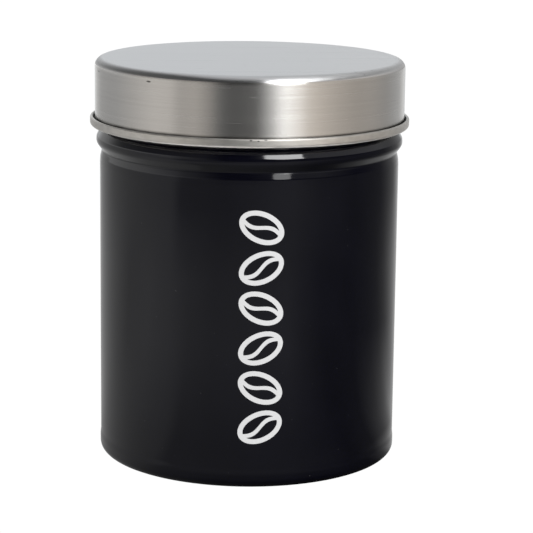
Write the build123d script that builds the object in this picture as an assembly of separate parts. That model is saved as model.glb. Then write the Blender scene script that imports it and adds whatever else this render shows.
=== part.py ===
from build123d import *

import os
from math import atan2, copysign, cos, degrees, hypot, pi, radians, sin

# A round coffee tin: a rolled steel wall with a pressed base locked into its foot, and a drawn
# stainless lid that slips over the neck and seals on it. Millimetres, +Z up, the origin at the centre
# of the face that the tin stands on, the printed marks facing -Y and the wall's weld at +Y.

# --- Driving dimensions ---------------------------------------------------------------------------
TIN_HEIGHT = 140.5  # foot to lid top
WALL_RADIUS = 52.5  # outside of the painted wall
WALL_SHEET = 0.45  # painted steel of the wall and the base
LID_SHEET = 0.5  # stainless steel of the lid
LID_RADIUS = 54.2  # outside of the lid's skirt
LID_CORNER_RADIUS = 3.0  # outside, between the lid's top and skirt

# --- Foot and base --------------------------------------------------------------------------------
FOOT_RADIUS = 52.7  # the wall swells this far where it is rolled round the base
FOOT_CORNER_RADIUS = 2.8
FOOT_SWELL_TOP = 6.8
FOOT_SWELL_BOTTOM = 5.2
HOOK_RADIUS = 48.1  # inner face of the hook that the wall's foot is turned up into
HOOK_TOP = 3.4
LOCK_GAP = 0.25  # between the hook and the base's rim that caps it
PANEL_HEIGHT = 2.0  # underside of the base's outer panel
PANEL_STEP = 1.0  # the middle of the base is pressed up this much
PANEL_STEP_RADIUS = 37.0
LOCK_GROOVE_TOP = 4.2  # underside of the base's rim, over the hook
LOCK_GROOVE_BOTTOM = 1.2  # lower edge of the base's rim
COMPOUND_CLEARANCE = 0.12

# --- Neck and its bead ----------------------------------------------------------------------------
NECK_RADIUS = 52.0
NECK_TOP = 137.7
CURL_RADIUS = 1.2  # outside of the rolled rim
BEAD_TOP_CORNER = (53.62, 113.2)  # corners of the bead before rounding, as radius and height
BEAD_TOP_ROUND = 0.9
BEAD_NOSE_CORNER = (53.8, 111.3)
BEAD_NOSE_ROUND = 2.4
BEAD_HEAD = 116.2  # where the bead's upper flank runs into the neck
GROOVE_CORNER = (51.77, 108.45)  # bottom of the groove under the bead
SHOULDER_FOOT = 106.13  # where the wall starts to lean in towards that groove
SHOULDER_ROUND = 12.5

# --- Weld down the back of the wall -----------------------------------------------------------------
WELD_WIDTH = 2.4
WELD_RISE = 0.12
WELD_BOTTOM = 8.0
WELD_TOP = 103.5

# --- Lid rim ----------------------------------------------------------------------------------------
RIM_BOTTOM = 117.1
RIM_TOP = 120.2
RIM_RADIUS = 55.9
RIM_LIP = 1.2  # width of the hem along the top of the rim
HEM_DEPTH = 1.5  # the hem's loose edge ends this far below the top of the rim

# --- Seal --------------------------------------------------------------------------------------------
SEAL_CLEARANCE = 0.2  # to the lid, to the neck's rolled rim and, at the ribs, to its side
SEAL_BOTTOM = 128.0
SEAL_WALL = 0.9
SEAL_INNER_RADIUS = 49.9  # its flat web covers the rolled rim to here
SEAL_RIB_HEIGHTS = (130.4, 134.2)
SEAL_RIB_HALF_HEIGHT = 0.7

# --- Printed marks: a column of coffee beans ----------------------------------------------------------
MARK_NAMES = ("lowest", "second", "third", "fourth", "fifth", "highest")
MARK_BOTTOM = 15.8
MARK_TOP = 96.0
MARK_THICKNESS = 0.1
BEAN_HALF_LENGTH = 7.9
BEAN_HALF_WIDTH = 5.3
BEAN_OUTLINE = 1.7  # width of the drawn line
BEAN_TILT = 25.0  # degrees, to one side and the other in turn
CREASE_WIDTH = 1.4
CREASE_SWING = 1.15  # how far the crease curves to each side
CREASE_REACH = 7.2  # half of its length, so its ends run into the outline


def parallel_corners(corners, distance):
    """The corners of a line that runs beside an open polyline, on its left for a positive distance."""
    headings = [atan2(b[1] - a[1], b[0] - a[0]) for a, b in zip(corners, corners[1:])]
    headings = [headings[0], *headings, headings[-1]]
    moved = []
    for (r, z), before, after in zip(corners, headings, headings[1:]):
        mitre = (before + after) / 2
        if abs(after - before) > pi:
            mitre += pi
        reach = distance / cos(mitre - before)
        moved.append((r - reach * sin(mitre), z + reach * cos(mitre)))
    return moved


def turn_sign(a, b, c):
    """+1 where the path a, b, c turns left and -1 where it turns right."""
    return copysign(1, (b[0] - a[0]) * (c[1] - b[1]) - (b[1] - a[1]) * (c[0] - b[0]))


def sheet_section(corners, radii, thickness):
    """The (r, z) section of bent sheet. corners and radii are those of one face; a positive thickness
    puts the metal on the left of that face, and every bend keeps the sheet's thickness."""
    far_side = parallel_corners(corners, thickness)
    turns = [turn_sign(*corners[i : i + 3]) for i in range(len(radii))]
    far_radii = [radius - turn * thickness for radius, turn in zip(radii, turns)]
    outline = [*corners, *reversed(far_side)]
    outline_radii = [0, *radii, 0, 0, *reversed(far_radii), 0]
    return section_face(outline, outline_radii)


def section_face(outline, radii):
    """A face in the XZ plane from closed (r, z) corners, each rounded by its radius."""
    points = [(r, 0, z) for r, z in outline]
    return make_face(FilletPolyline(*points, radius=radii, close=True).edges())


def turned(section):
    """The solid that a section sweeps in a full turn about the tin's axis."""
    return revolve(section, axis=Axis.Z)


def tube_between(inner_radius, outer_radius, bottom, top):
    height = top - bottom
    ring = Cylinder(outer_radius, height) - Cylinder(inner_radius, height)
    return Pos(0, 0, (bottom + top) / 2) * ring


# --- Wall: foot hook, wall, groove, bead, neck and rolled rim in one sheet --------------------------
def wall_shell():
    curl_inside = NECK_RADIUS - 2 * CURL_RADIUS - 0.1
    curl_bottom = NECK_TOP - 2 * CURL_RADIUS - 0.1
    curl_end = NECK_RADIUS - WALL_SHEET - 0.4
    corners_and_radii = [
        ((HOOK_RADIUS, HOOK_TOP), None),
        ((HOOK_RADIUS, 0), 0.6),
        ((FOOT_RADIUS, 0), FOOT_CORNER_RADIUS),
        ((FOOT_RADIUS, FOOT_SWELL_BOTTOM), 8),
        ((WALL_RADIUS, FOOT_SWELL_TOP), 8),
        ((WALL_RADIUS, SHOULDER_FOOT), SHOULDER_ROUND),
        (GROOVE_CORNER, 0.6),
        (BEAD_NOSE_CORNER, BEAD_NOSE_ROUND),
        (BEAD_TOP_CORNER, BEAD_TOP_ROUND),
        ((NECK_RADIUS, BEAD_HEAD), 1.0),
        ((NECK_RADIUS, NECK_TOP), CURL_RADIUS),
        ((curl_inside, NECK_TOP), CURL_RADIUS),
        ((curl_inside, curl_bottom), CURL_RADIUS),
        ((curl_end, curl_bottom), None),
    ]
    corners = [corner for corner, _ in corners_and_radii]
    radii = [radius for _, radius in corners_and_radii[1:-1]]
    shell = turned(sheet_section(corners, radii, WALL_SHEET))
    return shell + weld_ridge()


def weld_ridge():
    """The wall's lengthwise weld, a low flat ridge at +Y that the paint covers."""
    ridge = tube_between(WALL_RADIUS - WALL_SHEET / 2, WALL_RADIUS + WELD_RISE, WELD_BOTTOM, WELD_TOP)
    slice_box = Box(WELD_WIDTH, 2 * WELD_WIDTH, TIN_HEIGHT)
    return ridge & Pos(0, WALL_RADIUS, TIN_HEIGHT / 2) * slice_box


# --- Base: a pressed disc whose rim caps the hook of the wall ---------------------------------------
def base_disc():
    inner_leg = HOOK_RADIUS - LOCK_GAP
    outer_leg = HOOK_RADIUS + WALL_SHEET + LOCK_GAP
    panel_top = PANEL_HEIGHT + PANEL_STEP
    corners_and_radii = [
        ((0, panel_top), None),
        ((PANEL_STEP_RADIUS, panel_top), 1.2),
        ((PANEL_STEP_RADIUS + 1.5 * PANEL_STEP, PANEL_HEIGHT), 1.2),
        ((inner_leg, PANEL_HEIGHT), 0.6),
        ((inner_leg, LOCK_GROOVE_TOP), 0.3),
        ((outer_leg, LOCK_GROOVE_TOP), 0.3),
        ((outer_leg, LOCK_GROOVE_BOTTOM), None),
    ]
    corners = [corner for corner, _ in corners_and_radii]
    radii = [radius for _, radius in corners_and_radii[1:-1]]
    return turned(sheet_section(corners, radii, WALL_SHEET))


def seam_compound():
    """The ring of sealing compound between the top of the hook and the base's rim."""
    inner = HOOK_RADIUS - LOCK_GAP + COMPOUND_CLEARANCE
    outer = HOOK_RADIUS + WALL_SHEET + LOCK_GAP - COMPOUND_CLEARANCE
    return tube_between(inner, outer, HOOK_TOP + COMPOUND_CLEARANCE, LOCK_GROOVE_TOP - COMPOUND_CLEARANCE)


# --- Lid: a drawn cup whose edge is rolled out, up and over into a hem ------------------------------
def lid_shell():
    gutter = RIM_BOTTOM + LID_SHEET
    outer_leg = RIM_RADIUS - LID_SHEET
    hem_fold = RIM_TOP - LID_SHEET
    inner_leg = RIM_RADIUS - RIM_LIP + LID_SHEET
    corners_and_radii = [
        ((0, TIN_HEIGHT), None),
        ((LID_RADIUS, TIN_HEIGHT), LID_CORNER_RADIUS),
        ((LID_RADIUS, gutter), 0.55),
        ((outer_leg, gutter), 0.55),
        ((outer_leg, hem_fold), 0.09),
        ((inner_leg, hem_fold), 0.09),
        ((inner_leg, RIM_TOP - HEM_DEPTH), None),
    ]
    corners = [corner for corner, _ in corners_and_radii]
    radii = [radius for _, radius in corners_and_radii[1:-1]]
    return turned(sheet_section(corners, radii, -LID_SHEET))


# --- Seal: a silicone cap ring between the lid and the neck -----------------------------------------
def lid_seal():
    outer = LID_RADIUS - LID_SHEET - SEAL_CLEARANCE
    inner = outer - SEAL_WALL
    top = TIN_HEIGHT - LID_SHEET - SEAL_CLEARANCE
    web_bottom = NECK_TOP + SEAL_CLEARANCE
    rib_tip = NECK_RADIUS + SEAL_CLEARANCE
    corners_and_radii = [
        ((SEAL_INNER_RADIUS, web_bottom), 0.5),
        ((inner, web_bottom), 0.3),
    ]
    for rib in reversed(SEAL_RIB_HEIGHTS):
        corners_and_radii += [
            ((inner, rib + SEAL_RIB_HALF_HEIGHT), 0.1),
            ((rib_tip, rib), 0.15),
            ((inner, rib - SEAL_RIB_HALF_HEIGHT), 0.1),
        ]
    corners_and_radii += [
        ((inner, SEAL_BOTTOM), 0.5),
        ((outer, SEAL_BOTTOM), 0.5),
        ((outer, top), LID_CORNER_RADIUS - LID_SHEET),
        ((SEAL_INNER_RADIUS, top), 0.5),
    ]
    corners = [corner for corner, _ in corners_and_radii]
    radii = [radius for _, radius in corners_and_radii]
    return turned(section_face(corners, radii))


# --- Printed marks ----------------------------------------------------------------------------------
def bean_drawing():
    """A coffee bean in line, lying along X: an oval outline with a curved crease from end to end."""
    outline = Ellipse(BEAN_HALF_LENGTH, BEAN_HALF_WIDTH)
    outline -= Ellipse(BEAN_HALF_LENGTH - BEAN_OUTLINE, BEAN_HALF_WIDTH - BEAN_OUTLINE)
    steps = [-1, -0.75, -0.5, -0.25, 0, 0.25, 0.5, 0.75, 1]
    middle = [(CREASE_REACH * s, CREASE_SWING * sin(pi * s)) for s in steps]
    upper = Spline(*[(x, y + CREASE_WIDTH / 2) for x, y in middle])
    lower = Spline(*[(x, y - CREASE_WIDTH / 2) for x, y in middle])
    ends = [Line(upper @ end, lower @ end) for end in (0, 1)]
    return outline + make_face([*upper.edges(), *lower.edges(), *ends[0].edges(), *ends[1].edges()])


def bean_half_height():
    tilt = radians(BEAN_TILT)
    return hypot(BEAN_HALF_LENGTH * sin(tilt), BEAN_HALF_WIDTH * cos(tilt))


def printed_marks():
    """One thin solid on the wall for each bean, by name, from the lowest up."""
    film = tube_between(WALL_RADIUS, WALL_RADIUS + MARK_THICKNESS, MARK_BOTTOM, MARK_TOP)
    lowest = MARK_BOTTOM + bean_half_height()
    spacing = (MARK_TOP - MARK_BOTTOM - 2 * bean_half_height()) / (len(MARK_NAMES) - 1)
    facing = Plane(origin=(0, -WALL_RADIUS + 3, 0), x_dir=(1, 0, 0), z_dir=(0, -1, 0))
    marks = {}
    for place, name in enumerate(MARK_NAMES):
        tilt = BEAN_TILT if place % 2 == 0 else -BEAN_TILT
        drawing = facing * Pos(0, lowest + place * spacing) * Rot(0, 0, tilt) * bean_drawing()
        marks[f"{name}_bean_mark"] = extrude(drawing, 5) & film
    return marks


def main():
    os.makedirs("parts", exist_ok=True)
    pieces = {
        "wall_shell": wall_shell(),
        "base_disc": base_disc(),
        "seam_compound": seam_compound(),
        "lid_shell": lid_shell(),
        "lid_seal": lid_seal(),
        **printed_marks(),
    }
    for name, shape in pieces.items():
        export_step(shape, f"parts/{name}.step")
        print(name, "solids", len(shape.solids()), "volume", round(shape.volume, 2), "valid", shape.is_valid)


main()
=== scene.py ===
import math

import bpy
from mathutils import Matrix, Vector


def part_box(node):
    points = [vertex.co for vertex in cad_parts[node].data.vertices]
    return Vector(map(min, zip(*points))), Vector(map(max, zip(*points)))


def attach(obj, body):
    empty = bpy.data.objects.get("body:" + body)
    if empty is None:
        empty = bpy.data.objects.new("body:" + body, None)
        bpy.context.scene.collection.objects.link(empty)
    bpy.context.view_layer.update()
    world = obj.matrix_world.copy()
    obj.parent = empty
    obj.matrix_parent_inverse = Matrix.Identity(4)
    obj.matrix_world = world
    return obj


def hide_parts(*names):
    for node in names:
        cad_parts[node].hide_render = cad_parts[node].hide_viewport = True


# A round coffee tin: a gloss black steel body with a bead under its neck, six silver bean marks down
# its front, and a brushed stainless lid with a rolled rim. Outlines are (radius, height) points in
# millimetres, turned about the tin's axis; everything handed to Blender is in metres.

MM = 0.001

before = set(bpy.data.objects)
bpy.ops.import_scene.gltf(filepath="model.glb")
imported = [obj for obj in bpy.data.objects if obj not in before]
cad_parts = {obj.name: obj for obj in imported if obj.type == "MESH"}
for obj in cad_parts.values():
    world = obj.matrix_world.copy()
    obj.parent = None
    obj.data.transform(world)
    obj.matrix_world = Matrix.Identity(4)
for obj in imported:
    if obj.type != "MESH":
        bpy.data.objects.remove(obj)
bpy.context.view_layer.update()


def frame_size(node):
    """Outer radius, lowest height and highest height of a CAD node, in millimetres."""
    low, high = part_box(node)
    return high.x / MM, low.z / MM, high.z / MM


_, FOOT, NECK_TOP = frame_size("wall_shell")
RIM_RADIUS, RIM_BOTTOM, LID_TOP = frame_size("lid_shell")
SEAL_RADIUS, SEAL_BOTTOM, SEAL_TOP = frame_size("lid_seal")
_, LOCK_BOTTOM, LOCK_TOP = frame_size("base_disc")

# --- Wall ---------------------------------------------------------------------------------------------
WALL_SHEET = 0.45
WALL_RADIUS = 52.5
NECK_RADIUS = 52.0
CURL = 1.2  # outer radius of the neck's rolled rim
HOOK_RADIUS = 48.1  # inner face of the hook at the wall's foot
HOOK_HEIGHT = 3.4
FOOT_RADIUS = 52.7
FOOT_CORNER = 2.8
SWELL_BOTTOM = 5.2  # the foot's swelling runs into the wall between these heights
SWELL_TOP = 6.8
SWELL_ROUND = 8
SHOULDER_FOOT = 106.13  # where the wall starts to lean in towards the groove under the bead
SHOULDER_ROUND = 12.5
GROOVE_CORNER = (51.77, 108.45)
GROOVE_ROUND = 0.6
BEAD_NOSE_CORNER = (53.8, 111.3)
BEAD_NOSE_ROUND = 2.4
BEAD_TOP_CORNER = (53.62, 113.2)
BEAD_TOP_ROUND = 0.9
BEAD_HEAD = 116.2  # where the bead's upper flank runs into the neck
WELD_HALF_WIDTH = 1.2
WELD_RISE = 0.12
WELD_ENDS = (8.0, 103.5)

# --- Base ---------------------------------------------------------------------------------------------
LOCK_GAP = 0.25  # between the wall's hook and the base's rim that caps it
PANEL_HEIGHT = 2.0  # underside of the base's outer panel
PANEL_STEP = 1.0  # the middle of the base is pressed up this much
PANEL_STEP_RADIUS = 37.0
PANEL_ROUND = 1.2

# --- Lid and seal -------------------------------------------------------------------------------------
LID_SHEET = 0.5
LID_RADIUS = 54.2
LID_CORNER = 3.0  # outer radius of the lid's top corner
RIM_TOP = RIM_BOTTOM + 3.1
RIM_BEND = 0.55
HEM_BEND = 0.09
HEM_DEPTH = 1.5  # the hem's loose edge ends this far below the top of the rim
SEAL_GAP = 0.2  # to the neck
SEAL_WALL = 0.9
SEAL_WEB_RADIUS = 49.9
SEAL_ROUND = 0.5
SEAL_RIBS = (134.2, 130.4)
SEAL_RIB_HALF_HEIGHT = 0.7

# --- Mesh density -------------------------------------------------------------------------------------
SEGMENTS = 240  # steps round the tin
ARC_STEP = math.radians(11)  # a rounded corner gets a point for about each of these
GUARD = 0.25  # flat sides get a guard point this far from each end, so that they shade flat
SIDE_LENGTH = 8  # flat sides are cut into lengths no longer than this


# ======================================================================================================
# Geometry
# ======================================================================================================
def heading(a, b):
    """The direction from a to b, as an angle."""
    return math.atan2(b[1] - a[1], b[0] - a[0])


def turn_at(a, b, c):
    """The signed turn at b of the path a, b, c, positive to the left."""
    return math.remainder(heading(b, c) - heading(a, b), math.tau)


def parallel_corners(corners, distance):
    """The corners of a line beside an open polyline, on its left for a positive distance."""
    last = len(corners) - 1
    moved = []
    for i, (r, z) in enumerate(corners):
        before = heading(corners[max(i - 1, 0)], corners[max(i, 1)])
        after = heading(corners[min(i, last - 1)], corners[min(i + 1, last)])
        half_turn = math.remainder(after - before, math.tau) / 2
        reach = distance / math.cos(half_turn)
        mitre = before + half_turn
        moved.append((r - reach * math.sin(mitre), z + reach * math.cos(mitre)))
    return moved


def rounded_corner(a, b, c, radius):
    """The points of the arc that rounds corner b of the path a, b, c."""
    turn = turn_at(a, b, c)
    side = math.copysign(1, turn)
    start = heading(a, b)
    setback = radius * math.tan(abs(turn) / 2)
    centre_r = b[0] - setback * math.cos(start) - side * radius * math.sin(start)
    centre_z = b[1] - setback * math.sin(start) + side * radius * math.cos(start)
    steps = max(2, math.ceil(abs(turn) / ARC_STEP))
    points = []
    for step in range(steps + 1):
        along = start + turn * step / steps
        r = centre_r + side * radius * math.sin(along)
        z = centre_z - side * radius * math.cos(along)
        points.append((r, z))
    return points


def with_guards(points, longest):
    """A closed outline with guard points near the ends of its long sides, which are cut to longest."""
    out = []
    for a, b in zip(points, points[1:] + points[:1]):
        out.append(a)
        length = math.dist(a, b)
        if length < 3 * GUARD:
            continue
        cuts = math.ceil(length / longest)
        shares = [GUARD / length, *(cut / cuts for cut in range(1, cuts)), 1 - GUARD / length]
        out += [(a[0] + (b[0] - a[0]) * share, a[1] + (b[1] - a[1]) * share) for share in shares]
    return out


def rounded_loop(corners, radii, longest=SIDE_LENGTH):
    """A closed outline with each corner rounded by its radius; a radius of 0 keeps the corner."""
    points = []
    for i, radius in enumerate(radii):
        a, b, c = corners[i - 1], corners[i], corners[(i + 1) % len(corners)]
        points += rounded_corner(a, b, c, radius) if radius else [b]
    return with_guards(points, longest)


def sheet_loop(corners_and_radii, thickness, longest=SIDE_LENGTH):
    """The outline of bent sheet, from one face's corners and radii. A positive thickness puts the metal
    on the left of that face."""
    corners = [corner for corner, _ in corners_and_radii]
    radii = [radius for _, radius in corners_and_radii[1:-1]]
    turns = [turn_at(*corners[i : i + 3]) for i in range(len(radii))]
    far_radii = [radius - math.copysign(1, turn) * thickness for radius, turn in zip(radii, turns)]
    outline = [*corners, *reversed(parallel_corners(corners, thickness))]
    return rounded_loop(outline, [0, *radii, 0, 0, *reversed(far_radii), 0], longest)


def lathe(name, body, outline, shape=None, extra_angles=()):
    """A closed mesh turned from a closed outline, riding on a CAD body. shape(r, z, angle) gives the
    radius and height that a point of the outline has at that angle."""
    angles = sorted([math.tau * i / SEGMENTS for i in range(SEGMENTS)] + list(extra_angles))
    vertices, rings = [], []
    for r, z in outline:
        on_axis = r < 1e-6
        rings.append([])
        for angle in angles[:1] if on_axis else angles:
            at_r, at_z = shape(r, z, angle) if shape and not on_axis else (r, z)
            rings[-1].append(len(vertices))
            vertices.append((at_r * MM * math.cos(angle), at_r * MM * math.sin(angle), at_z * MM))
    faces = []
    for ring, following in zip(rings, rings[1:] + rings[:1]):
        if len(ring) == len(following) == 1:
            continue
        for i in range(len(angles)):
            j = (i + 1) % len(angles)
            corners = [ring[i % len(ring)], ring[j % len(ring)]]
            corners += [following[j % len(following)], following[i % len(following)]]
            faces.append(list(dict.fromkeys(corners)))
    mesh = bpy.data.meshes.new(name)
    mesh.from_pydata(vertices, [], faces)
    mesh.shade_smooth()
    piece = bpy.data.objects.new(name, mesh)
    bpy.context.scene.collection.objects.link(piece)
    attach(piece, body)
    return piece


# --- Body wall: hook, foot, wall, groove, bead, neck and rolled rim ------------------------------------
def wall_outline():
    curl_inside = NECK_RADIUS - 2 * CURL - 0.1
    curl_bottom = NECK_TOP - 2 * CURL - 0.1
    curl_end = NECK_RADIUS - WALL_SHEET - 0.4
    corners_and_radii = [
        ((HOOK_RADIUS, FOOT + HOOK_HEIGHT), 0),
        ((HOOK_RADIUS, FOOT), 0.6),
        ((FOOT_RADIUS, FOOT), FOOT_CORNER),
        ((FOOT_RADIUS, FOOT + SWELL_BOTTOM), SWELL_ROUND),
        ((WALL_RADIUS, FOOT + SWELL_TOP), SWELL_ROUND),
        ((WALL_RADIUS, SHOULDER_FOOT), SHOULDER_ROUND),
        (GROOVE_CORNER, GROOVE_ROUND),
        (BEAD_NOSE_CORNER, BEAD_NOSE_ROUND),
        (BEAD_TOP_CORNER, BEAD_TOP_ROUND),
        ((NECK_RADIUS, BEAD_HEAD), 1),
        ((NECK_RADIUS, NECK_TOP), CURL),
        ((curl_inside, NECK_TOP), CURL),
        ((curl_inside, curl_bottom), CURL),
        ((curl_end, curl_bottom), 0),
    ]
    return sheet_loop(corners_and_radii, WALL_SHEET)


def with_weld(r, z, angle):
    """Raises the wall's outer face into the low ridge of its weld, at +Y."""
    across = abs(math.remainder(angle - math.pi / 2, math.tau)) * WALL_RADIUS
    along = min(z - WELD_ENDS[0], WELD_ENDS[1] - z)
    if r < WALL_RADIUS - 0.1 or across > WELD_HALF_WIDTH or along < 0:
        return r, z
    crown = math.cos(across / WELD_HALF_WIDTH * math.pi / 2) ** 0.5
    return r + WELD_RISE * min(1, along / 2) * crown, z


def weld_angles():
    """Angles across the weld, closer together than the rest of the turn."""
    steps = [i / 4 for i in range(-4, 5)]
    return [math.pi / 2 + step * WELD_HALF_WIDTH / WALL_RADIUS for step in steps if step]


def base_outline():
    inner = HOOK_RADIUS - LOCK_GAP
    outer = HOOK_RADIUS + WALL_SHEET + LOCK_GAP
    panel_top = PANEL_HEIGHT + PANEL_STEP
    groove_top = LOCK_TOP - WALL_SHEET
    corners_and_radii = [
        ((0, panel_top), 0),
        ((PANEL_STEP_RADIUS, panel_top), PANEL_ROUND),
        ((PANEL_STEP_RADIUS + 1.5 * PANEL_STEP, PANEL_HEIGHT), PANEL_ROUND),
        ((inner, PANEL_HEIGHT), 0.6),
        ((inner, groove_top), 0.3),
        ((outer, groove_top), 0.3),
        ((outer, LOCK_BOTTOM), 0),
    ]
    return sheet_loop(corners_and_radii, WALL_SHEET)


# --- Lid ------------------------------------------------------------------------------------------------
def lid_outline():
    gutter = RIM_BOTTOM + LID_SHEET
    hem_fold = RIM_TOP - LID_SHEET
    outer_leg = RIM_RADIUS - LID_SHEET
    inner_leg = outer_leg - 0.2
    corners_and_radii = [
        ((0, LID_TOP), 0),
        ((LID_RADIUS, LID_TOP), LID_CORNER),
        ((LID_RADIUS, gutter), RIM_BEND),
        ((outer_leg, gutter), RIM_BEND),
        ((outer_leg, hem_fold), HEM_BEND),
        ((inner_leg, hem_fold), HEM_BEND),
        ((inner_leg, RIM_TOP - HEM_DEPTH), 0),
    ]
    return sheet_loop(corners_and_radii, -LID_SHEET, longest=3)


def seal_outline():
    web_bottom = NECK_TOP + SEAL_GAP
    inner = SEAL_RADIUS - SEAL_WALL
    rib_tip = NECK_RADIUS + SEAL_GAP
    corners_and_radii = [((SEAL_WEB_RADIUS, web_bottom), SEAL_ROUND), ((inner, web_bottom), 0.3)]
    for rib in SEAL_RIBS:
        corners_and_radii += [
            ((inner, rib + SEAL_RIB_HALF_HEIGHT), 0.1),
            ((rib_tip, rib), 0.15),
            ((inner, rib - SEAL_RIB_HALF_HEIGHT), 0.1),
        ]
    corners_and_radii += [
        ((inner, SEAL_BOTTOM), SEAL_ROUND),
        ((SEAL_RADIUS, SEAL_BOTTOM), SEAL_ROUND),
        ((SEAL_RADIUS, SEAL_TOP), LID_CORNER - LID_SHEET),
        ((SEAL_WEB_RADIUS, SEAL_TOP), SEAL_ROUND),
    ]
    corners = [corner for corner, _ in corners_and_radii]
    return rounded_loop(corners, [radius for _, radius in corners_and_radii])


# ======================================================================================================
# Materials
# ======================================================================================================
CAMERA_AZIMUTH = math.radians(-5.3)  # round the tin from its front, towards -X


def studio_direction(azimuth, elevation=0.0):
    """A direction from the tin: azimuth in degrees from the camera's side, positive to its right."""
    angle = math.radians(azimuth) + CAMERA_AZIMUTH
    flat = Vector((math.sin(angle), -math.cos(angle), 0))
    return flat * math.cos(math.radians(elevation)) + Vector((0, 0, math.sin(math.radians(elevation))))


def add_node(tree, kind, settings=None, inputs=None):
    """A node with its settings, and with its inputs set to values or linked to other nodes' outputs."""
    node = tree.nodes.new(kind)
    for name, value in (settings or {}).items():
        setattr(node, name, value)
    for name, value in (inputs or {}).items():
        if isinstance(value, bpy.types.NodeSocket):
            tree.links.new(value, node.inputs[name])
        else:
            node.inputs[name].default_value = value
    return node


def calculate(tree, operation, first, second=0.0):
    """The output of a maths node."""
    return add_node(tree, "ShaderNodeMath", {"operation": operation}, {0: first, 1: second}).outputs[0]


def mapped(tree, value, low, high, to_low=0.0, to_high=1.0, smooth=True):
    """Value's range low to high, mapped onto to_low to to_high."""
    settings = {"interpolation_type": "SMOOTHSTEP" if smooth else "LINEAR"}
    inputs = {"Value": value, "From Min": low, "From Max": high, "To Min": to_low, "To Max": to_high}
    return add_node(tree, "ShaderNodeMapRange", settings, inputs).outputs["Result"]


def mix_colour(tree, share, first, second):
    """The first colour where share is 0, and the second where it is 1."""
    inputs = {0: share, 6: first, 7: second}
    return add_node(tree, "ShaderNodeMix", {"data_type": "RGBA"}, inputs).outputs[2]


def noise(tree, scale, detail=2.0, roughness=0.5):
    """Noise over a piece's own coordinates, in features per metre along each axis."""
    coordinates = add_node(tree, "ShaderNodeTexCoord").outputs["Object"]
    inputs = {"Vector": coordinates, "Scale": scale}
    placed = add_node(tree, "ShaderNodeMapping", {}, inputs).outputs["Vector"]
    inputs = {"Vector": placed, "Scale": 1.0, "Detail": detail, "Roughness": roughness}
    return add_node(tree, "ShaderNodeTexNoise", {}, inputs).outputs["Fac"]


def grey(value, blue=0.0):
    """A neutral colour, with blue added to its blue channel."""
    return (value, value, value + blue, 1)


def new_material(name, **shader_inputs):
    """A material with its node tree and its Principled shader, whose inputs are set by name."""
    material = bpy.data.materials.new(name)
    material.use_nodes = True
    shader = material.node_tree.nodes["Principled BSDF"]
    for key, value in shader_inputs.items():
        shader.inputs[key.replace("_", " ")].default_value = value
    return material, material.node_tree, shader


def length_of(tree, vector):
    """The output that gives a vector's length."""
    return add_node(tree, "ShaderNodeVectorMath", {"operation": "LENGTH"}, {0: vector}).outputs["Value"]


def add_bump(tree, shader, height, depth):
    """Relief of the given depth, in millimetres, where height goes from 0 to 1."""
    inputs = {"Strength": 1.0, "Distance": depth * MM, "Height": height}
    bump = add_node(tree, "ShaderNodeBump", {}, inputs)
    tree.links.new(bump.outputs["Normal"], shader.inputs["Normal"])


def over_waves(tree, fine, share):
    """Fine relief over the sheet's own long, shallow waves; share is how high it stands beside them."""
    waves = noise(tree, (70, 70, 45), 1)
    return calculate(tree, "ADD", waves, calculate(tree, "MULTIPLY", fine, share))


def black_paint():
    """Sprayed gloss enamel: faint orange peel, thin smears and a few specks of dust."""
    material, tree, shader = new_material("gloss_black_paint", IOR=1.7)
    dust = mapped(tree, noise(tree, (1700, 1700, 1700), 1), 0.8, 0.86)
    cloud = mapped(tree, noise(tree, (45, 45, 30), 3), 0.35, 0.7)
    colour = mix_colour(tree, cloud, (0.0011, 0.0011, 0.0052, 1), (0.0026, 0.0026, 0.0074, 1))
    tree.links.new(mix_colour(tree, dust, colour, grey(0.12)), shader.inputs["Base Color"])
    smear = mapped(tree, noise(tree, (60, 60, 140), 4, 0.6), 0.4, 0.75, 0.07, 0.14)
    tree.links.new(smear, shader.inputs["Roughness"])
    add_bump(tree, shader, over_waves(tree, noise(tree, (420, 420, 420), 1), 0.12), 0.05)
    return material


def brushed_steel(name, blur_direction, lines, scratches, tint, roughness, anisotropy, contrast=0.05):
    """Brushed stainless sheet whose highlights spread out along blur_direction, across the brushing. lines
    and scratches are the noise scales of the brush lines and of the few scratches that cross them."""
    material, tree, shader = new_material(name, Metallic=1, Anisotropic=anisotropy)
    direction = add_node(tree, "ShaderNodeCombineXYZ", {}, dict(zip("XYZ", blur_direction)))
    settings = {"vector_type": "VECTOR", "convert_from": "OBJECT", "convert_to": "WORLD"}
    turned = add_node(tree, "ShaderNodeVectorTransform", settings, {"Vector": direction.outputs["Vector"]})
    tree.links.new(turned.outputs["Vector"], shader.inputs["Tangent"])
    fine = noise(tree, lines, 3, 0.6)
    coarse = noise(tree, [scale / 4 for scale in lines], 2)
    fine_share = calculate(tree, "MULTIPLY", fine, 0.6)
    coarse_share = calculate(tree, "MULTIPLY", coarse, 0.4)
    tone = calculate(tree, "ADD", fine_share, coarse_share)
    dark, light, scratched = [
        tuple(share * channel for channel in tint) + (1,) for share in (1 - contrast, 1 + contrast, 0.85)
    ]
    colour = mix_colour(tree, mapped(tree, tone, 0.3, 0.7, smooth=False), dark, light)
    marks = mapped(tree, noise(tree, scratches, 2, 0.6), 0.66, 0.76, 0.0, 0.2)
    colour = mix_colour(tree, marks, colour, scratched)
    tree.links.new(colour, shader.inputs["Base Color"])
    low, high = roughness - 0.02, roughness + 0.02
    tree.links.new(mapped(tree, tone, 0.3, 0.7, low, high, False), shader.inputs["Roughness"])
    add_bump(tree, shader, over_waves(tree, fine, 0.04), 0.025)
    return material


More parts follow.
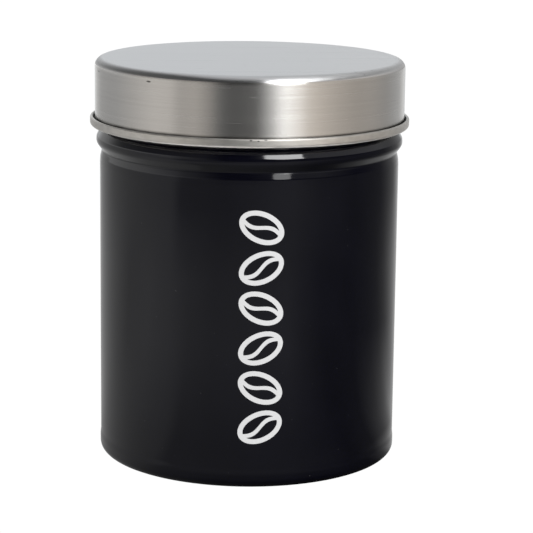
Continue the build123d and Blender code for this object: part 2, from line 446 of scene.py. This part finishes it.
def darken(material, share, dark):
    """Mixes a dark colour into a material's base colour."""
    tree = material.node_tree
    base_colour = tree.nodes["Principled BSDF"].inputs["Base Color"]
    clean = base_colour.links[0].from_socket
    tree.links.new(mix_colour(tree, share, clean, dark), base_colour)


def add_gap_shade(material, bottom, top, outer_radius):
    """Painted shade in a steel, fading out from one height up to another, within a radius, and broken into
    patches:
    the dark of the gap between the lid's skirt and its rim, and of the rim's gutter, put into the base
    colour."""
    tree = material.node_tree
    position = add_node(tree, "ShaderNodeTexCoord").outputs["Object"]
    parts = add_node(tree, "ShaderNodeSeparateXYZ", {}, {"Vector": position})
    ground = add_node(tree, "ShaderNodeCombineXYZ", {}, {"X": parts.outputs["X"], "Y": parts.outputs["Y"]})
    radius = length_of(tree, ground.outputs[0])
    shade_patches = mapped(tree, noise(tree, (90, 90, 300), 3, 0.6), 0.3, 0.7, 0.55, 0.9)
    below = mapped(tree, parts.outputs["Z"], bottom * MM, top * MM, 1.0, 0.0)
    inside = mapped(tree, radius, (outer_radius - 0.1) * MM, (outer_radius + 0.1) * MM, 1.0, 0.0)
    reached = calculate(tree, "MULTIPLY", below, inside)
    # painted shade: a dark brown mixed into the base colour where the gap and the gutter lie
    darken(material, calculate(tree, "MULTIPLY", reached, shade_patches), (0.07, 0.065, 0.06, 1))


def add_nicks(material, radius, nicks):
    """Small dark nicks in a steel, at a radius. Each is (azimuth from the camera's side, height,
    half-width, half-height), in degrees and millimetres."""
    tree = material.node_tree
    position = add_node(tree, "ShaderNodeTexCoord").outputs["Object"]
    for azimuth, height, half_width, half_height in nicks:
        place = studio_direction(azimuth) * radius * MM + Vector((0, 0, height * MM))
        offset = add_node(tree, "ShaderNodeVectorMath", {"operation": "SUBTRACT"}, {0: position, 1: place})
        stretch = Vector((1 / half_width, 1 / half_width, 1 / half_height)) / MM
        inputs = {0: offset.outputs[0], 1: stretch}
        scaled = add_node(tree, "ShaderNodeVectorMath", {"operation": "MULTIPLY"}, inputs)
        share = mapped(tree, length_of(tree, scaled.outputs[0]), 0.6, 1.2, 0.85, 0.0)
        darken(material, share, (0.02, 0.018, 0.016, 1))


def silver_ink():
    """Screen-printed silver ink: a fine, slightly pebbled film."""
    material, tree, shader = new_material("silver_ink", IOR=1.45)
    grain = noise(tree, (2600, 2600, 2600), 2)
    colour = mix_colour(tree, mapped(tree, grain, 0.3, 0.7), grey(0.75, 0.005), grey(0.8, 0.005))
    tree.links.new(colour, shader.inputs["Base Color"])
    roughness = mapped(tree, noise(tree, (200, 200, 200), 2), 0.3, 0.7, 0.35, 0.5)
    tree.links.new(roughness, shader.inputs["Roughness"])
    add_bump(tree, shader, grain, 0.008)
    return material


def white_silicone():
    """Moulded silicone rubber, satin with a faint cloudiness."""
    translucency = {"Subsurface_Weight": 0.15, "Subsurface_Scale": 2 * MM}
    material, tree, shader = new_material("seal_silicone", IOR=1.41, **translucency)
    cloud = mapped(tree, noise(tree, (120, 120, 120), 3), 0.3, 0.7)
    colour = mix_colour(tree, cloud, (0.72, 0.73, 0.72, 1), (0.79, 0.8, 0.785, 1))
    tree.links.new(colour, shader.inputs["Base Color"])
    roughness = mapped(tree, noise(tree, (350, 350, 350), 2), 0.3, 0.7, 0.38, 0.5)
    tree.links.new(roughness, shader.inputs["Roughness"])
    add_bump(tree, shader, noise(tree, (900, 900, 900), 2), 0.01)
    return material


def seaming_compound():
    """The dark rubbery compound that fills the base seam."""
    material, tree, shader = new_material("seam_compound", IOR=1.5)
    lumps = noise(tree, (900, 900, 900), 3)
    colour = mix_colour(tree, mapped(tree, lumps, 0.3, 0.7), grey(0.035), grey(0.06))
    tree.links.new(colour, shader.inputs["Base Color"])
    tree.links.new(mapped(tree, lumps, 0.3, 0.7, 0.6, 0.8), shader.inputs["Roughness"])
    add_bump(tree, shader, lumps, 0.03)
    return material


paint = black_paint()
top_steel = brushed_steel(
    "top_steel",
    blur_direction=(0, 1, 0),
    lines=(25, 2400, 2400),
    scratches=(500, 40, 40),
    tint=(0.61, 0.615, 0.62),
    roughness=0.29,
    anisotropy=0.95,
)
skirt_steel = brushed_steel(
    "skirt_steel",
    blur_direction=(0, 0, 1),
    lines=(20, 20, 2600),
    scratches=(40, 40, 500),
    tint=(0.63, 0.62, 0.6),
    roughness=0.26,
    anisotropy=0.95,
)
rim_steel = brushed_steel(
    "rim_steel",
    blur_direction=(0, 0, 1),
    lines=(300, 300, 900),
    scratches=(900, 900, 900),
    tint=(0.64, 0.625, 0.595),
    roughness=0.46,
    anisotropy=0.35,
    contrast=0.12,
)
# Painted shade: the skirt just above the rim, and the rim's gutter, darkened in the base colour.
add_gap_shade(skirt_steel, RIM_TOP - 0.1, RIM_TOP + 0.9, LID_RADIUS + 0.5)
add_gap_shade(rim_steel, RIM_TOP + 1, RIM_TOP + 2, RIM_RADIUS - LID_SHEET - 0.4)
add_nicks(skirt_steel, LID_RADIUS, [(-37.7, 137.1, 1.0, 0.3), (-72.5, 137.0, 1.5, 0.2)])
add_nicks(rim_steel, RIM_RADIUS, [(1, 119.8, 0.5, 0.25), (3.5, 119.6, 0.4, 0.2), (6, 119.9, 0.6, 0.15)])
ink = silver_ink()
silicone = white_silicone()
compound = seaming_compound()

SLOT_MATERIALS = {
    "wall_shell": paint,
    "base_disc": paint,
    "seam_compound": compound,
    "lid_shell": skirt_steel,
    "lid_seal": silicone,
}
for name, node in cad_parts.items():
    for material_slot in node.material_slots:
        material_slot.material = SLOT_MATERIALS.get(name, ink)


# ======================================================================================================
# Pieces
# ======================================================================================================
def add_piece(name, body, replaced, outline, materials, shape=None, extra_angles=()):
    piece = lathe(name, body, outline, shape, extra_angles)
    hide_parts(replaced)
    for material in materials:
        piece.data.materials.append(material)
    return piece


def choose_lid_steels(lid):
    """The top's steel, brushed along X, takes in the rounded corner; the rim has its own."""
    skirt, top, rim = range(3)
    for face in lid.data.polygons:
        radius = math.hypot(face.center.x, face.center.y) / MM
        height = face.center.z / MM
        if radius < LID_RADIUS - 0.05 * LID_CORNER and height > LID_TOP - LID_CORNER:
            face.material_index = top
        elif radius > LID_RADIUS + 0.05:
            face.material_index = rim
        else:
            face.material_index = skirt


wall = wall_outline()
add_piece("body_wall", "canister", "wall_shell", wall, [paint], with_weld, weld_angles())
add_piece("base", "canister", "base_disc", base_outline(), [paint])
add_piece("seal", "seal", "lid_seal", seal_outline(), [silicone])
lid_materials = [skirt_steel, top_steel, rim_steel]
lid = add_piece("lid", "lid", "lid_shell", lid_outline(), lid_materials)
choose_lid_steels(lid)


# ======================================================================================================
# Camera, light and floor
# ======================================================================================================
CAMERA_PITCH = math.radians(12.18)  # looking down
CAMERA_ROLL = math.radians(-0.67)
CAMERA_LENS = 147.3
UNIT = WALL_RADIUS * MM
AIM_HEIGHT = 1.3 * UNIT
CAMERA_DISTANCE = 14.791 * UNIT
CAMERA_RIGHT = 0.124 * UNIT  # how far the lens stands to the right of the line to the tin's axis
CAMERA_DROP = 0.045 * UNIT
SOFTBOX_DISTANCE = 1.2  # from the point that the soft lights face
SOFTBOX_AIM_HEIGHT = 0.1


def add_camera():
    turn = Matrix.Rotation(CAMERA_AZIMUTH, 3, "Z")
    forward = turn @ Vector((0, math.cos(CAMERA_PITCH), -math.sin(CAMERA_PITCH)))
    right = turn @ Vector((1, 0, 0))
    up = turn @ Vector((0, math.sin(CAMERA_PITCH), math.cos(CAMERA_PITCH)))
    place = Vector((0, 0, AIM_HEIGHT)) - CAMERA_DISTANCE * forward + CAMERA_RIGHT * right - CAMERA_DROP * up
    rolled_right = right * math.cos(CAMERA_ROLL) - up * math.sin(CAMERA_ROLL)
    rolled_up = right * math.sin(CAMERA_ROLL) + up * math.cos(CAMERA_ROLL)
    data = bpy.data.cameras.new("camera")
    data.lens = CAMERA_LENS
    data.sensor_width = 36
    data.clip_start = 0.01
    camera = bpy.data.objects.new("camera", data)
    bpy.context.scene.collection.objects.link(camera)
    axes = Matrix((rolled_right, rolled_up, -forward)).transposed()
    camera.matrix_world = Matrix.Translation(place) @ axes.to_4x4()
    bpy.context.scene.camera = camera


def add_softbox(name, azimuth, elevation, width, height, radiance):
    """An oval light that faces the tin; its radiance doesn't depend on its size."""
    data = bpy.data.lights.new(name, "AREA")
    data.shape = "ELLIPSE"
    data.size = width
    data.size_y = height
    data.energy = radiance * math.pi * width * height * math.pi / 4
    light = bpy.data.objects.new(name, data)
    bpy.context.scene.collection.objects.link(light)
    centre = Vector((0, 0, SOFTBOX_AIM_HEIGHT))
    light.location = centre + SOFTBOX_DISTANCE * studio_direction(azimuth, elevation)
    light.rotation_euler = (centre - light.location).to_track_quat("-Z", "Y").to_euler()
    light.visible_camera = False


# Brightness round the studio by azimuth from the camera's side, in degrees, positive to its right. Each
# stop is (azimuth, brightness, warmth); the camera's side is dark, and the side behind the tin is bright.
LOW_ROOM = [
    (-180, 0.9, -0.03), (-171, 1.05, -0.03), (-160, 0.85, -0.02), (-148, 0.6, 0), (-120, 0.65, 0),
    (-85, 0.6, 0), (-60, 0.45, 0), (-50, 0.28, 0), (-35, 0.15, 0), (-18, 0.03, 0), (0, 0.02, 0),
    (50, 0.05, 0), (90, 0.03, 0), (120, 0.08, 0), (145, 0.3, 0), (165, 0.45, -0.02), (173, 0.58, -0.03),
    (180, 0.9, -0.03),
]
HIGH_ROOM = [
    (-180, 0.78, -0.03), (-168, 0.88, -0.02), (-150, 0.5, 0), (-130, 0.16, 0), (-87, 0.09, 0),
    (-60, 0.1, 0), (-42, 0.1, 0), (-22, 0.02, 0), (0, 0.02, 0), (25, 0.12, 0), (60, 0.34, 0),
    (110, 0.36, 0), (150, 0.38, 0), (168, 0.56, -0.02), (180, 0.78, -0.03),
]
ROOM_BLEND = (8, 22)  # elevations over which the low room turns into the high one
CEILING_BLEND = (60, 82)
CEILING = grey(0.72, 0.01)

# The floor's brightness in four rings: where it meets the tin, near it, further out and far away. The ring
# where it meets the tin is a painted contact shadow of the tin, darkest on the camera's side, seen in the
# tin's reflections.
FOOT_FLOOR = [
    (-180, 0.4, 0), (-90, 0.35, 0), (-60, 0.25, 0), (-35, 0.1, 0), (-10, 0.05, 0), (30, 0.02, 0),
    (65, 0.03, 0), (78, 0.15, 0), (86, 0.4, 0), (100, 0.6, 0), (180, 0.5, 0),
]
NEAR_FLOOR = [
    (-180, 0.5, 0), (-130, 0.46, 0), (-108, 0.35, 0), (-80, 0.28, 0), (-50, 0.22, 0), (-42, 0.14, 0),
    (0, 0.12, 0), (28, 0.1, 0), (60, 0.045, 0), (80, 0.06, 0), (90, 0.14, 0), (98, 0.19, 0),
    (110, 0.32, 0), (120, 0.5, 0), (180, 0.6, 0),
]
MIDDLE_FLOOR = [
    (-180, 0.7, 0), (-146, 0.46, 0), (-118, 0.38, 0), (-96, 0.29, 0), (-75, 0.36, 0), (-57, 0.32, 0),
    (-42, 0.24, 0), (-23, 0.19, 0), (28, 0.19, 0), (38, 0.13, 0), (54, 0.075, 0), (81, 0.055, 0),
    (98, 0.07, 0), (111, 0.1, 0), (122, 0.18, 0), (137, 0.38, 0), (147, 0.5, 0), (180, 0.7, 0),
]
FAR_FLOOR = [
    (-180, 1.0, -0.02), (-153, 0.46, 0), (-123, 0.34, 0), (-80, 0.31, 0), (-58, 0.27, 0), (-50, 0.14, 0),
    (-15, 0.12, 0), (15, 0.16, 0), (34, 0.18, 0), (57, 0.107, 0), (85, 0.07, 0), (117, 0.08, 0),
    (142, 0.25, 0), (154, 0.5, 0), (180, 1.0, -0.02),
]
NEAR_BLEND = (0.055, 0.075)  # distances from the axis over which one ring turns into the next, in metres
MIDDLE_BLEND = (0.1, 0.24)
FAR_BLEND = (0.36, 0.56)

# What the lid alone gets from the screens that stand round the tin.
LID_SCREENS = [
    (-180, 0, 0), (-162, 0.4, 0), (-140, 0, 0), (-112, 0.1, 0), (-90, 0.4, 0.08), (-70, 0.75, 0.08),
    (-57, 0.8, 0.08), (-51, 0.65, 0.08), (-38, 0.8, 0.08), (-29, 0.55, 0.08), (-20, 0.12, 0),
    (-12, 0, 0), (5, 0.05, 0), (14, 0.66, 0), (26, 1.42, 0.02), (36, 1.5, 0.08), (46, 1.4, 0.11),
    (54, 1.2, 0.11), (67, 0.95, 0.11), (81, 0.78, 0.1), (97, 0.73, 0.08), (115, 0.58, 0.04),
    (130, 0.48, 0), (155, 0.42, 0), (168, 0, 0),
]
SCREEN_STRENGTH = 0.5
SCREEN_DISTANCE = 1.4
SCREEN_HEIGHT = 0.8
SHEEN_BLEND = (0.2, 0.34)  # the screens' sheen on the floor starts between these distances
SHEEN_HEIGHT = 0.002
CARD_RADIUS = 0.11  # a bright card round the tin's foot, for the underside of the lid's rim
CARD_BRIGHTNESS = 1.8
CARD_HEIGHT = 0.001

SOFT_LIGHT = 0.68  # what matt surfaces get from every side
ROOM_WHITE = 1.05  # what the lens sees of the room and of the floor
FLOOR_WHITE = 1.02
FLOOR_SIZE = 40


def round_ramp(tree, turn, stops):
    """The colour of the stops at a share of a turn, starting behind the tin."""
    node = add_node(tree, "ShaderNodeValToRGB", {}, {"Fac": turn})
    ramp = node.color_ramp
    ramp.interpolation = "LINEAR"
    while len(ramp.elements) < len(stops):
        ramp.elements.new(0.5)
    for element, (azimuth, brightness, warmth) in zip(ramp.elements, stops):
        element.position = (azimuth + 180) / 360
        element.color = (brightness * (1 + warmth), brightness, brightness * (1 - warmth), 1)
    return node.outputs["Color"]


def studio_turn(tree, position):
    """The share of a turn, starting behind the tin, at which a position stands."""
    parts = add_node(tree, "ShaderNodeSeparateXYZ", {}, {"Vector": position})
    backwards = calculate(tree, "MULTIPLY", parts.outputs["Y"], -1.0)
    angle = calculate(tree, "ARCTAN2", parts.outputs["X"], backwards)
    turn = calculate(tree, "MULTIPLY_ADD", angle, 1 / math.tau)
    turn.node.inputs[2].default_value = 0.5 - CAMERA_AZIMUTH / math.tau
    return calculate(tree, "FRACT", turn)


def white_to_camera(tree, colour, white):
    """White to the lens, a plain soft light to matt surfaces, and the given colour in reflections."""
    rays = add_node(tree, "ShaderNodeLightPath")
    colour = mix_colour(tree, rays.outputs["Is Diffuse Ray"], colour, grey(SOFT_LIGHT))
    return mix_colour(tree, rays.outputs["Is Camera Ray"], colour, grey(white))


def add_world():
    """A plain studio room: white to the lens, and soft greys round the tin to everything else."""
    world = bpy.data.worlds.new("studio")
    bpy.context.scene.world = world
    world.use_nodes = True
    tree = world.node_tree
    direction = add_node(tree, "ShaderNodeTexCoord").outputs["Generated"]
    turn = studio_turn(tree, direction)
    height = add_node(tree, "ShaderNodeSeparateXYZ", {}, {"Vector": direction}).outputs["Z"]
    upper, ceiling = [
        mapped(tree, height, *(math.sin(math.radians(elevation)) for elevation in blend))
        for blend in (ROOM_BLEND, CEILING_BLEND)
    ]
    room = mix_colour(tree, upper, round_ramp(tree, turn, LOW_ROOM), round_ramp(tree, turn, HIGH_ROOM))
    room = mix_colour(tree, ceiling, room, CEILING)
    tree.links.new(white_to_camera(tree, room, ROOM_WHITE), tree.nodes["Background"].inputs["Color"])


def new_emitter(name):
    """A glowing material with its node tree, its emission shader and its output."""
    material, tree, shader = new_material(name)
    tree.nodes.remove(shader)
    glow = add_node(tree, "ShaderNodeEmission")
    return material, tree, glow, tree.nodes["Material Output"]


def add_floor():
    """A plain pale floor: white to the lens, and rings of grey in what the tin reflects."""
    bpy.ops.mesh.primitive_plane_add(size=FLOOR_SIZE)
    floor = bpy.context.object
    floor.name = "floor"
    material, tree, glow, output = new_emitter("pale_floor")
    position = add_node(tree, "ShaderNodeTexCoord").outputs["Object"]
    turn = studio_turn(tree, position)
    distance = length_of(tree, position)
    colour = round_ramp(tree, turn, FOOT_FLOOR)
    rings = [(NEAR_BLEND, NEAR_FLOOR), (MIDDLE_BLEND, MIDDLE_FLOOR), (FAR_BLEND, FAR_FLOOR)]
    for blend, stops in rings:
        beyond = mapped(tree, distance, *blend, smooth=False)
        colour = mix_colour(tree, beyond, colour, round_ramp(tree, turn, stops))
    tree.links.new(white_to_camera(tree, colour, FLOOR_WHITE), glow.inputs["Color"])
    tree.links.new(glow.outputs["Emission"], output.inputs["Surface"])
    floor.data.materials.append(material)


def add_lid_light(light_source, name, tint_maker):
    """Makes a mesh glow on the lid alone; it is clear to every ray."""
    light_source.name = name
    material, tree, glow, output = new_emitter(name)
    tint_maker(tree, glow)
    clear = add_node(tree, "ShaderNodeBsdfTransparent")
    both = add_node(tree, "ShaderNodeAddShader", {}, {0: clear.outputs[0], 1: glow.outputs[0]})
    tree.links.new(both.outputs[0], output.inputs["Surface"])
    light_source.data.materials.append(material)
    light_source.visible_camera = False
    light_source.visible_diffuse = False
    light_source.visible_shadow = False
    light_source.light_linking.receiver_collection = lid_only


def screen_tint(tree, glow):
    position = add_node(tree, "ShaderNodeTexCoord").outputs["Object"]
    tint = round_ramp(tree, studio_turn(tree, position), LID_SCREENS)
    strength = mapped(tree, length_of(tree, position), *SHEEN_BLEND, 0.0, SCREEN_STRENGTH)
    tree.links.new(tint, glow.inputs["Color"])
    tree.links.new(strength, glow.inputs["Strength"])


def card_tint(_, glow):
    glow.inputs["Color"].default_value = grey(CARD_BRIGHTNESS)


def add_screens():
    """A ring of screens round the tin, their sheen on the floor, and a card round the tin's foot."""
    ring = {"vertices": 96, "radius": SCREEN_DISTANCE}
    middle = (0, 0, SCREEN_HEIGHT / 2)
    bpy.ops.mesh.primitive_cylinder_add(
        depth=SCREEN_HEIGHT, end_fill_type="NOTHING", location=middle, **ring
    )
    add_lid_light(bpy.context.object, "screens", screen_tint)
    bpy.ops.mesh.primitive_circle_add(fill_type="NGON", location=(0, 0, SHEEN_HEIGHT), **ring)
    add_lid_light(bpy.context.object, "sheen", screen_tint)
    disc = {"vertices": 48, "radius": CARD_RADIUS}
    bpy.ops.mesh.primitive_circle_add(fill_type="NGON", location=(0, 0, CARD_HEIGHT), **disc)
    add_lid_light(bpy.context.object, "card", card_tint)


lid_only = bpy.data.collections.new("lid_only")
lid_only.objects.link(lid)
add_camera()
add_world()
add_floor()
add_screens()
add_softbox("key", azimuth=30, elevation=38, width=0.54, height=0.82, radiance=6.5)
add_softbox("key_spill", azimuth=25, elevation=16, width=0.27, height=0.25, radiance=2.2)

bpy.context.scene.view_settings.view_transform = "Standard"
